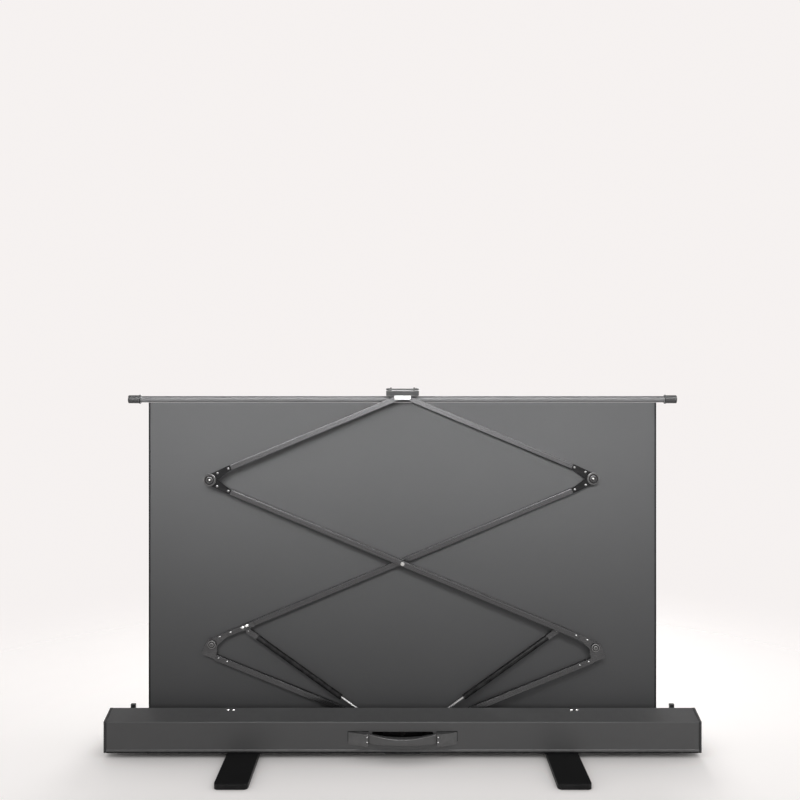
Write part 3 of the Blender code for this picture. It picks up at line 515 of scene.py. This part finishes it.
def make_floor():
    """A pale floor that glows a little, with a painted shadow in its glow near what stands on it, and fades
    out further away.
    """
    material, tree, shader, place = new_finish("pale_floor")
    cloud = noise(tree, place, 2.5)
    tree.links.new(mixed(tree, cloud, FLOOR_DARKER, FLOOR_PALER), shader.inputs["Base Color"])
    shader.inputs["Roughness"].default_value = 0.6
    shader.inputs["Emission Color"].default_value = (*FLOOR_TINT, 1)
    # painted shadow: the glow is dimmed where something stands near the floor
    near = tree.nodes.new("ShaderNodeAmbientOcclusion")
    near.inputs["Distance"].default_value = SHADE_REACH
    glow_left_by_painted_shadow = ramp(tree, near.outputs["AO"], low=0.15, high=0.95)
    lit = times(tree, seen_directly(tree), FLOOR_GLOW)
    tree.links.new(times(tree, lit, glow_left_by_painted_shadow), shader.inputs["Emission Strength"])
    away = tree.nodes.new("ShaderNodeVectorMath")
    away.operation = "LENGTH"
    tree.links.new(stretched(tree, place, FADE_SQUEEZE), away.inputs[0])
    fade = tree.nodes.new("ShaderNodeMapRange")
    fade.interpolation_type = "SMOOTHERSTEP"
    tree.links.new(away.outputs["Value"], fade.inputs["Value"])
    limits = {"From Min": FADE_FROM, "From Max": FADE_TO, "To Min": 1.0, "To Max": 0.0}
    for label, value in limits.items():
        fade.inputs[label].default_value = value
    tree.links.new(fade.outputs["Result"], shader.inputs["Alpha"])
    mesh = bpy.data.meshes.new("floor")
    outline = ((-1, -1), (1, -1), (1, 1), (-1, 1))
    mesh.from_pydata([(FLOOR_REACH * x, FLOOR_REACH * y, 0) for x, y in outline], [], [(0, 1, 2, 3)])
    mesh.materials.append(material)
    add("floor", mesh)


def make_world():
    """A pale backdrop for the camera that sends only a little light."""
    bpy.context.scene.view_settings.view_transform = "Standard"
    world = bpy.data.worlds.new("studio")
    bpy.context.scene.world = world
    world.use_nodes = True
    tree = world.node_tree
    background = tree.nodes["Background"]
    tree.links.new(mixed(tree, seen_directly(tree), WORLD_LIGHT, BACKDROP), background.inputs["Color"])
    background.inputs["Strength"].default_value = 1.0


def make_lamps():
    """Soft lamps round the screen. The strip shows only as gloss."""
    for name, place, aim, size, power, spread in LAMPS:
        lamp = bpy.data.lights.new(name, "AREA")
        lamp.shape = "RECTANGLE"
        lamp.size, lamp.size_y = size
        lamp.energy = power
        lamp.spread = math.radians(spread)
        made = add(name, lamp)
        made.visible_diffuse = name != "edge_strip"
        made.location = place
        made.rotation_euler = (Vector(aim) - Vector(place)).to_track_quat("-Z", "Y").to_euler()


# Helpers for pieces


def piece(name, bm, materials, body, smooth=35):
    """A finished piece at the origin, riding on a body.

    Edges that turn by more than smooth, in degrees, stay sharp, and all of them do where it is 0.
    """
    bmesh.ops.recalc_face_normals(bm, faces=bm.faces)
    mesh = bpy.data.meshes.new(name)
    bm.to_mesh(mesh)
    bm.free()
    if smooth:
        mesh.shade_smooth()
        mesh.set_sharp_from_angle(angle=math.radians(smooth))
    for material in materials:
        mesh.materials.append(material)
    made = add(name, mesh)
    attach(made, body)
    return made


def between(first, second):
    """A closed solid between two outlines of as many points."""
    bm = bmesh.new()
    rims = [[bm.verts.new(point) for point in outline] for outline in (first, second)]
    for rim in rims:
        bm.faces.new(rim)
    count = len(first)
    for k in range(count):
        m = (k + 1) % count
        bm.faces.new((rims[0][k], rims[0][m], rims[1][m], rims[1][k]))
    return bm


def turned_about_y(profile, centre, bright=(), count=40):
    """A round piece about an axis along Y, from steps of a radius and a way out, which is towards the back.

    The bands whose numbers are in bright get the piece's second finish.
    """
    bm = bmesh.new()
    rings = []
    for radius, out in profile:
        turns = [math.tau * k / count for k in range(count)] if radius else [0]
        places = [
            (centre.x + radius * math.cos(t), centre.y - out, centre.z + radius * math.sin(t)) for t in turns
        ]
        rings.append([bm.verts.new(place) for place in places])
    for band, (first, second) in enumerate(zip(rings, rings[1:])):
        for k in range(count):
            m = (k + 1) % count
            corners = [first[k % len(first)], first[m % len(first)]]
            corners += [second[m % len(second)], second[k % len(second)]]
            bm.faces.new(list(dict.fromkeys(corners))).material_index = 1 if band in bright else 0
    return bm


def lean_axes(lean, side, rise):
    """The way along a bar that leans from level, and the way square to it.

    side is 1 or -1, as the bar runs along X, and rise is 1 where it goes up and -1 where it goes down.
    """
    along = Vector((side * math.cos(lean), 0, rise * math.sin(lean)))
    across = Vector((-side * math.sin(lean), 0, rise * math.cos(lean)))
    return along, across


def joint_place(name):
    return Vector(joints[name]["pos_m"])


def rear_face(name):
    """Where a node ends towards the back."""
    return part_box(name)[0].y


def pin_end(name, sunk=0.0):
    """The middle of a pin's rear end, a little inside it, and the pin's radius."""
    low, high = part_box(name)
    return Vector(((low.x + high.x) / 2, low.y + sunk, (low.z + high.z) / 2)), (high.x - low.x) / 2


# Fastener heads


HEAD_SEGMENTS, HEAD_RINGS, COLLAR_SIDES = 14, 8, 16
COLLAR_RADIUS, COLLAR_HEIGHT = 1.25, 0.5  # of the head's


def make_head_tree():
    """Geometry Nodes: a domed head with a flat collar on each point, along the point's own way out."""
    tree = bpy.data.node_groups.new("domed_heads", "GeometryNodeTree")
    face = tree.interface
    face.new_socket("Geometry", in_out="INPUT", socket_type="NodeSocketGeometry")
    for label in ("Head Radius", "Head Height", "Collar Radius", "Collar Height"):
        face.new_socket(label, in_out="INPUT", socket_type="NodeSocketFloat")
    face.new_socket("Finish", in_out="INPUT", socket_type="NodeSocketMaterial")
    face.new_socket("Geometry", in_out="OUTPUT", socket_type="NodeSocketGeometry")
    new, link = tree.nodes.new, tree.links.new
    start, end = new("NodeGroupInput"), new("NodeGroupOutput")
    dome = new("GeometryNodeMeshUVSphere")
    dome.inputs["Segments"].default_value = HEAD_SEGMENTS
    dome.inputs["Rings"].default_value = HEAD_RINGS
    dome.inputs["Radius"].default_value = 1.0
    size = new("ShaderNodeCombineXYZ")
    for axis, label in (("X", "Head Radius"), ("Y", "Head Radius"), ("Z", "Head Height")):
        link(start.outputs[label], size.inputs[axis])
    shaped = new("GeometryNodeTransform")
    link(dome.outputs["Mesh"], shaped.inputs["Geometry"])
    link(size.outputs[0], shaped.inputs["Scale"])
    collar = new("GeometryNodeMeshCylinder")
    collar.inputs["Vertices"].default_value = COLLAR_SIDES
    link(start.outputs["Collar Radius"], collar.inputs["Radius"])
    link(start.outputs["Collar Height"], collar.inputs["Depth"])
    both_shapes = new("GeometryNodeJoinGeometry")
    link(collar.outputs["Mesh"], both_shapes.inputs[0])
    link(shaped.outputs["Geometry"], both_shapes.inputs[0])
    way = new("GeometryNodeInputNamedAttribute")
    way.data_type = "FLOAT_VECTOR"
    way.inputs["Name"].default_value = "way_out"
    turn = new("FunctionNodeAlignRotationToVector")
    turn.axis = "Z"
    link(way.outputs["Attribute"], turn.inputs["Vector"])
    spots = new("GeometryNodeInstanceOnPoints")
    link(start.outputs["Geometry"], spots.inputs["Points"])
    link(both_shapes.outputs[0], spots.inputs["Instance"])
    link(turn.outputs["Rotation"], spots.inputs["Rotation"])
    real = new("GeometryNodeRealizeInstances")
    link(spots.outputs["Instances"], real.inputs["Geometry"])
    smooth = new("GeometryNodeSetShadeSmooth")
    link(real.outputs["Geometry"], smooth.inputs["Geometry"])
    finish = new("GeometryNodeSetMaterial")
    link(smooth.outputs["Geometry"], finish.inputs["Geometry"])
    link(start.outputs["Finish"], finish.inputs["Material"])
    link(finish.outputs["Geometry"], end.inputs["Geometry"])
    return tree


HEAD_TREE = make_head_tree()


def heads(name, spots, size, finish, body, way=BACK):
    """Fastener heads of one radius and height on points, kept as a plain mesh that rides on a body."""
    radius, height = size
    points = bpy.data.meshes.new(name + "_points")
    points.from_pydata([tuple(spot) for spot in spots], [], [])
    layer = points.attributes.new("way_out", "FLOAT_VECTOR", "POINT")
    for point in layer.data:
        point.vector = way
    holder = add(name, points)
    modifier = holder.modifiers.new("made", "NODES")
    modifier.node_group = HEAD_TREE
    values = {
        "Head Radius": radius,
        "Head Height": height,
        "Collar Radius": radius * COLLAR_RADIUS,
        "Collar Height": height * COLLAR_HEIGHT,
        "Finish": finish,
    }
    for item in HEAD_TREE.interface.items_tree:
        if item.item_type == "SOCKET" and item.in_out == "INPUT" and item.name in values:
            modifier[item.identifier] = values[item.name]
    graph = bpy.context.evaluated_depsgraph_get()
    shown = holder.evaluated_get(graph)
    made = bpy.data.meshes.new_from_object(shown, preserve_all_data_layers=True, depsgraph=graph)
    holder.modifiers.clear()
    holder.data = made
    made.name = name
    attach(holder, body)


# The fabric


CLOTH_COLUMNS, CLOTH_ROWS = 44, 30
CLOTH_THICK = 0.0005
BORDER = 0.045  # the dark border of the white front
HEM = 0.0045  # the dark line down each side of the back
CARRIED = 0.036  # of the top border, which the bar carries without drawing it out
BACK_FINISH, FRONT_FINISH, BORDER_FINISH = 0, 1, 2
CALM_MIDDLE = 0.35  # how much the middle waves, as a share of the sides
SWELL, SWELL_RATE, SWELL_LAG = 0.0007, 9.0, 2.0  # a slow wave across the sheet
RIPPLE, RIPPLE_RATE = 0.0005, 23.0  # and a quicker one
HAIR = 1e-6  # far less than a step of the grid


def cloth_wave(x, share):
    """How far the sheet stands off its plane, at a share of its height: nothing at the slot and the bar."""
    side = (abs(x) / FABRIC_HIGH.x) ** 3
    loose = math.sin(math.pi * share) * (CALM_MIDDLE + (1 - CALM_MIDDLE) * side)
    swell = SWELL * loose * math.sin(SWELL_RATE * x + SWELL_LAG * share)
    return swell + RIPPLE * loose * math.cos(RIPPLE_RATE * x)


def make_fabric():
    """The sheet between the slot and the bar, dark behind and white in front with a dark border.

    It stays at the slot and its upper rows go with the bar, so it lengthens and shortens as the bar moves.
    """
    low, high = FABRIC_LOW, FABRIC_HIGH
    wide, tall = high.x - low.x, high.z - low.z
    middle = (low.y + high.y) / 2
    xs = [low.x + wide * i / CLOTH_COLUMNS for i in range(CLOTH_COLUMNS + 1)]
    xs = sorted(xs + [low.x + BORDER, high.x - BORDER, low.x + HEM, high.x - HEM])
    zs = [low.z + tall * k / CLOTH_ROWS for k in range(CLOTH_ROWS + 1)]
    zs = sorted(zs + [high.z - BORDER])
    bm = bmesh.new()
    layers = []
    for side in (-1, 1):
        y = middle + side * CLOTH_THICK / 2
        layers.append([
            [bm.verts.new((x, y + cloth_wave(x, (z - low.z) / tall), z)) for x in xs] for z in zs
        ])
    back, front = layers
    last_row, last_column = len(zs) - 1, len(xs) - 1
    for k in range(last_row):
        for i in range(last_column):
            x, z = (xs[i] + xs[i + 1]) / 2, (zs[k] + zs[k + 1]) / 2
            quad = (back[k][i], back[k][i + 1], back[k + 1][i + 1], back[k + 1][i])
            bm.faces.new(quad).material_index = BORDER_FINISH if abs(x) > high.x - HEM else BACK_FINISH
            white = low.x + BORDER - HAIR < x < high.x - BORDER and z < high.z - BORDER
            quad = (front[k][i], front[k + 1][i], front[k + 1][i + 1], front[k][i + 1])
            bm.faces.new(quad).material_index = FRONT_FINISH if white else BORDER_FINISH
    rim = [(0, i) for i in range(last_column + 1)]
    rim += [(k, last_column) for k in range(1, last_row + 1)]
    rim += [(last_row, i) for i in range(last_column - 1, -1, -1)]
    rim += [(k, 0) for k in range(last_row - 1, 0, -1)]
    for (k, i), (m, j) in zip(rim, rim[1:] + rim[:1]):
        bm.faces.new((back[k][i], front[k][i], front[m][j], back[m][j])).material_index = BACK_FINISH
    fabric = piece("screen_cloth", bm, [CLOTH_BACK, CLOTH_FRONT, CLOTH_BORDER], "case")
    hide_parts("screen_fabric")
    group = fabric.vertex_groups.new(name="with_the_bar")
    for vertex in fabric.data.vertices:
        share = (vertex.co.z - low.z) / (tall - CARRIED)
        group.add([vertex.index], min(1, max(0, share)), "REPLACE")
    bpy.context.view_layer.update()
    follower = frame["bodies"]["top_bar"]
    hook = fabric.modifiers.new("drawn_by_the_bar", "HOOK")
    hook.object = follower
    hook.vertex_group = group.name
    hook.falloff_type = "NONE"
    hook.matrix_inverse = follower.matrix_world.inverted() @ fabric.matrix_world


# Rivets, screws and small pieces


# Radius and height of the heads
ARM_RIVET = (0.0025, 0.0012)
FLAT_RIVET = (0.0025, 0.0004)
LOWER_RIVET = (0.0022, 0.0010)
CLAMP_RIVET = (0.0040, 0.0020)
PIN_HEAD = (0.0015, 0.0006)
COVER_SCREW = (0.0028, 0.0011)
CASE_SCREW = (0.0034, 0.0016)
HANDLE_SCREW = (0.0020, 0.0010)

# How far a row of rivets stands off the line through a pin, and its steps along the arm from the pin
LOW_END = (0.0095, (0.026, 0.057))
HIGH_END = (0.0080, (0.024, 0.055))
LOWER_ARM = (0.027, (0.030, 0.054))
CLAMP = (0.0115, (-0.0135, -0.0020))

# Screws on the case's slope, which faces up and back, and at the carry handle
SLOPE_WAY = Vector((0, -0.016, 0.050)).normalized()
SLOPE_XS, SLOPE_Y, SLOPE_Z = (0.4315, 0.4455), -0.0245, 0.10392
HANDLE_INSET, HANDLE_ZS = 0.0035, (0.0455, 0.0575)

# Steps of the elbow covers and washers, as shares of the pin's radius and ways out, and their bright bands
COVER_STEPS = (
    (0.98, 0), (0.98, 0.0010), (0.92, 0.0018), (0.74, 0.0018), (0.68, 0.0006), (0.58, 0.0006),
    (0.52, 0.0021), (0.40, 0.0024), (0.34, 0.0012), (0.28, 0.0012),
)
COVER_BRIGHT = (2, 3, 7)
COVER_SCREW_OUT = 0.0010
WASHER_STEPS = (
    (1.2, 0), (1.2, 0.0006), (1.08, 0.0012), (0.9, 0.0012), (0.82, 0.0003), (0.66, 0.0003),
    (0.58, 0.0016), (0.36, 0.0020), (0.28, 0.0008),
)
WASHER_BRIGHT = (3, 7)
RING_SUNK = 0.001

# A spring lug's length beyond the eye, where it narrows, its end's half width, its radius and its half depth
LUG_LENGTH, LUG_SHOULDER, LUG_TIP, LUG_RADIUS, LUG_DEPTH = 0.0295, 0.0262, 0.0064, 0.0067, 0.0042
LUG_ARC = 14

# The case's rolled lip, as ways out from the face and heights over its foot
LIP = (
    (0, 0.0056), (0.0010, 0.0048), (0.0014, 0.0034), (0.0014, 0.0014), (0.0009, 0.0004), (0, 0.0001),
)
LIP_SMOOTH = 50

# A handle plate's painted shadow gap, a dark strip where the shade round the plate falls: its width, how far
# it stands out, and its start over the plate's foot
SHADOW_GAP_WIDTH, SHADOW_GAP_PROUD, SHADOW_GAP_START = 0.0017, 0.0004, 0.006


def row_of(pin, axes, off, steps, face):
    """Points on a face, in a row along a bar that stands off the bar's line through a pin."""
    along, across = axes
    spots = [pin + across * off + along * step for step in steps]
    return [Vector((spot.x, face, spot.z)) for spot in spots]


def make_arm_rivets(low, side):
    """Rivets of a cross arm, of its spring's clamp and pin, and of the arms that it meets.

    low is the side of the cross arm's lower end. Its upper end is on the other side.
    """
    high = OTHER[low]
    cross = f"{low}_cross_arm"
    elbow, top = joint_place(f"{low}_lower_elbow"), joint_place(f"{high}_upper_elbow")
    axes = lean_axes(ARM_LEAN, -side, 1)
    high_plate = rear_face(f"{low}_cross_upper_plate")
    off, (near, far) = LOW_END
    spots = row_of(elbow, axes, off, [near], rear_face(f"{low}_cross_lower_plate"))
    spots += row_of(elbow, axes, off, [far], rear_face(cross))
    off, steps = HIGH_END
    spots += row_of(top, axes, -off, [-step for step in steps], high_plate)
    heads(f"{low}_cross_arm_rivets", spots, ARM_RIVET, RIVET_STEEL, cross)

    heads(f"{low}_spring_pin_end", [pin_end(f"{low}_spring_pin")[0]], PIN_HEAD, RIVET_STEEL, cross)
    if low == "left":
        eye = joint_place("left_spring_pivot")
        spots = row_of(eye, axes, *CLAMP, rear_face("left_spring_clamp"))
        heads("clamp_rivets", spots, CLAMP_RIVET, STEEL, cross)

    spots = row_of(top, lean_axes(ARM_LEAN, side, 1), *HIGH_END, rear_face(f"{high}_upper_plate"))
    heads(f"{high}_upper_arm_rivets", spots, FLAT_RIVET, RIVET_STEEL, f"{high}_upper_arm")

    spots = row_of(elbow, lean_axes(LOWER_LEAN, -side, -1), *LOWER_ARM, rear_face(f"{low}_lower_arm"))
    heads(f"{low}_lower_arm_rivets", spots, LOWER_RIVET, RIVET_STEEL, f"{low}_lower_arm")


def make_case_screws():
    """Screws on the case's slope and at the ends of the carry handle."""
    spots = [Vector((side * x, SLOPE_Y, SLOPE_Z)) for _, side in SIDES for x in SLOPE_XS]
    heads("case_top_screws", spots, CASE_SCREW, STEEL, "case", SLOPE_WAY)
    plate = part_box("right_handle_plate")[0]
    spots = [Vector((side * (plate.x + HANDLE_INSET), plate.y, z)) for _, side in SIDES for z in HANDLE_ZS]
    heads("handle_screws", spots, HANDLE_SCREW, RIVET_STEEL, "case")


def ring_on(pin, steps, bright):
    """A stepped disc on a pin's rear end, and the middle of its foot."""
    centre, radius = pin_end(pin, RING_SUNK)
    profile = [(radius * share, out) for share, out in steps]
    return turned_about_y([(0, 0), *profile, (0, steps[-1][1])], centre, bright), centre


def make_elbow_rings():
    """Stepped cover discs on the upper elbow pins and ringed washers on the lower ones."""
    for side, _ in SIDES:
        arm, low_arm = f"{OTHER[side]}_cross_arm", f"{side}_cross_arm"
        cover, centre = ring_on(f"{side}_upper_elbow_pin", COVER_STEPS, COVER_BRIGHT)
        piece(f"{side}_elbow_cover", cover, [COVER_PLASTIC, DARK_STEEL], arm)
        heads(f"{side}_cover_screw", [centre + BACK * COVER_SCREW_OUT], COVER_SCREW, STEEL, arm)
        washer, _ = ring_on(f"{side}_lower_elbow_pin", WASHER_STEPS, WASHER_BRIGHT)
        piece(f"{side}_elbow_washer", washer, [COVER_PLASTIC, RIVET_STEEL], low_arm)


def make_spring_lugs():
    """Grey end fittings round the gas springs' upper eyes."""
    turns = [math.pi * (0.5 + k / LUG_ARC) for k in range(LUG_ARC + 1)]
    outline = [(LUG_LENGTH, -LUG_TIP), (LUG_LENGTH, LUG_TIP), (LUG_SHOULDER, LUG_RADIUS)]
    outline += [(LUG_RADIUS * math.cos(t), LUG_RADIUS * math.sin(t)) for t in turns]
    outline += [(LUG_SHOULDER, -LUG_RADIUS)]
    for side, way in SIDES:
        eye = joint_place(f"{side}_spring_pivot")
        low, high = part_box(f"{side}_spring_cylinder")
        eye.y = (low.y + high.y) / 2
        run, wide = lean_axes(SPRING_SLOPE, -way, -1)
        rims = [
            [eye + run * u + wide * v + Vector((0, depth, 0)) for u, v in outline]
            for depth in (-LUG_DEPTH, LUG_DEPTH)
        ]
        body = f"{side}_spring_cylinder"
        piece(f"{side}_spring_lug", between(*rims), [ARM_METAL["level"]], body)


def make_case_lip():
    """The rolled lip along the foot of the case's rear and front faces."""
    for name, face, way in (("rear_lip", REAR_LOW.y, -1), ("front_lip", FRONT_Y, 1)):
        ends = [
            [(x, face + way * out, REAR_LOW.z + up) for out, up in LIP] for x in (-REAR_HIGH.x, REAR_HIGH.x)
        ]
        piece(name, between(*ends), [CASE_PAINT], "case", LIP_SMOOTH)


def make_handle_shadow_gaps():
    """A painted shadow gap: a dark strip over and beyond each plate of the carry handle, on the case's rear
    face, where the shade round the plate falls.
    """
    for side, way in SIDES:
        low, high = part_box(f"{side}_handle_plate")
        inner, outer = sorted((abs(low.x), abs(high.x)))
        xs = (way * inner, way * (outer + SHADOW_GAP_WIDTH))
        ys = (REAR_LOW.y - SHADOW_GAP_PROUD, REAR_LOW.y + SHADOW_GAP_PROUD)
        zs = (low.z + SHADOW_GAP_START, high.z + SHADOW_GAP_WIDTH)
        bm = bmesh.new()
        corners = [bm.verts.new((x, y, z)) for x in xs for y in ys for z in zs]
        bmesh.ops.convex_hull(bm, input=corners)
        # painted shade: the strip is black paint where the gap's shadow would fall
        piece(f"{side}_handle_painted_shadow", bm, [FOOT_PAINT], "case", smooth=0)


# The screen, piece by piece


make_camera()
make_floor()
make_world()
make_lamps()
make_fabric()
for low_side, way_x in SIDES:
    make_arm_rivets(low_side, way_x)
make_case_screws()
make_elbow_rings()
make_spring_lugs()
make_case_lip()
make_handle_shadow_gaps()

dress(CASE_PAINT, ["case_rear_shell", "case_front_shell"])
dress(FOOT_PAINT, ["case_bottom", *both("foot")])
dress(CAP_PLASTIC, both("end_cap", "rest_peg", "bar_cap"))
dress(HANDLE_PLASTIC, ["carry_grip", *both("handle_plate")])
dress(PAD_RUBBER, ["centre_pad"])
dress(ARM_METAL["falling"], ["left_lower_arm", "right_cross_arm", "right_upper_arm"])
dress(ARM_METAL["rising"], ["right_lower_arm", "left_cross_arm", "left_upper_arm"])
dress(ARM_METAL["level"], both("lower_elbow_plate", "cross_lower_plate", "spring_clamp", "spring_pin"))
dress(ARM_METAL["level"], ["base_bracket", "roller_tube", *both("roller_bracket")])
dress(BRACKET_METAL, ["top_bracket"])
dress(BAIL_METAL, ["pull_bail"])
dress(BRACKET_PAINT, both("cross_upper_plate", "upper_plate"))
dress(SPRING_PAINT, both("spring_cylinder"))
dress(ROD_STEEL, both("spring_rod"))
dress(DARK_STEEL, both("lower_elbow_pin", "upper_elbow_pin"))
dress(STEEL, ["base_pin", "centre_bolt", "centre_nut", "top_pin", "roller_shaft"])
dress(STEEL, both("base_bush", "foot_bolt"))
dress(BAR_PAINT, ["top_bar"])
dress(HINGE_PLASTIC, ["hinge_block"])
dress(CLOTH_BACK, ["wound_fabric"])

soften(["case_rear_shell", "case_front_shell", "carry_grip"], width=0.0012, segments=3)
soften(both("lower_arm", "cross_arm", "upper_arm"), width=0.0012, segments=3)
soften(both("end_cap"), width=0.0012)
soften(both("handle_plate"), width=0.0008)
soften(both("foot"), width=0.0022, segments=3)
soften(["centre_pad"], width=0.002)
soften(["hinge_block"], width=0.0016, segments=3)
soften(["top_bracket", *both("bar_cap")], width=0.0006)
shade_round(["top_bar"])
